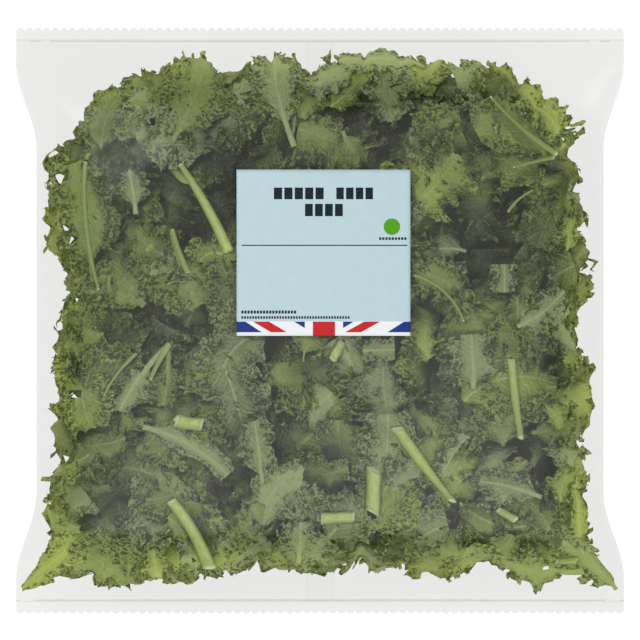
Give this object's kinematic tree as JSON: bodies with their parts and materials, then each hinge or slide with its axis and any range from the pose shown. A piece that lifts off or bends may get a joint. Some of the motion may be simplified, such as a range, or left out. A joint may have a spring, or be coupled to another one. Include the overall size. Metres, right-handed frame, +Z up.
{
  "type": "bag of cut curly kale",
  "caption": "Sealed clear film pillow bag, welded at both zigzag ends and lying on its back, full of cut curly kale, with a square pale blue label on the front.",
  "frame": {"origin": "on the surface under the middle of the bag", "axes": "+X towards the label's right edge, +Y towards its top edge, +Z up out of the bag's front"},
  "size_m": [0.281, 0.271, 0.0612],
  "materials": {
    "film": "clear, thin and slightly hazy, with soft wrinkles",
    "label_paper": "satin printed sticker",
    "leaf": "satin leaf, curled and frilled, with pale veins",
    "young_leaf": "satin paler leaf, smoother, with pale veins",
    "stem": "smooth pale rib and stem, cut across"
  },
  "bodies": {
    "root": {"film_bag": "film", "label": "label_paper", "leaf_piece_01": "leaf", "leaf_piece_02": "leaf", "leaf_piece_03": "leaf", "leaf_piece_04": "young_leaf", "leaf_piece_05": "leaf", "leaf_piece_06": "leaf", "leaf_piece_07": "leaf", "leaf_piece_08": "leaf", "leaf_piece_09": "young_leaf", "leaf_piece_10": "leaf", "leaf_piece_11": "leaf", "leaf_piece_12": "leaf", "leaf_piece_13": "leaf", "leaf_piece_14": "leaf", "leaf_piece_15": "leaf", "leaf_piece_16": "leaf", "leaf_piece_17": "leaf", "leaf_piece_18": "leaf", "leaf_piece_19": "leaf", "leaf_piece_20": "leaf", "leaf_piece_21": "leaf", "leaf_piece_22": "leaf", "leaf_piece_23": "young_leaf", "leaf_piece_24": "leaf", "leaf_piece_25": "young_leaf", "leaf_piece_26": "leaf", "leaf_piece_27": "young_leaf", "leaf_piece_28": "young_leaf", "leaf_piece_29": "leaf", "leaf_piece_30": "leaf", "leaf_piece_31": "young_leaf", "leaf_piece_32": "leaf", "leaf_piece_33": "leaf", "leaf_piece_34": "leaf", "leaf_piece_35": "leaf", "leaf_piece_36": "leaf", "leaf_piece_37": "young_leaf", "leaf_piece_38": "leaf", "leaf_piece_39": "leaf", "leaf_piece_40": "leaf", "stem_end_01": "stem", "stem_end_02": "stem", "stem_end_03": "stem", "stem_end_04": "stem", "stem_end_05": "stem", "stem_end_06": "stem"}
  },
  "joints": []
}
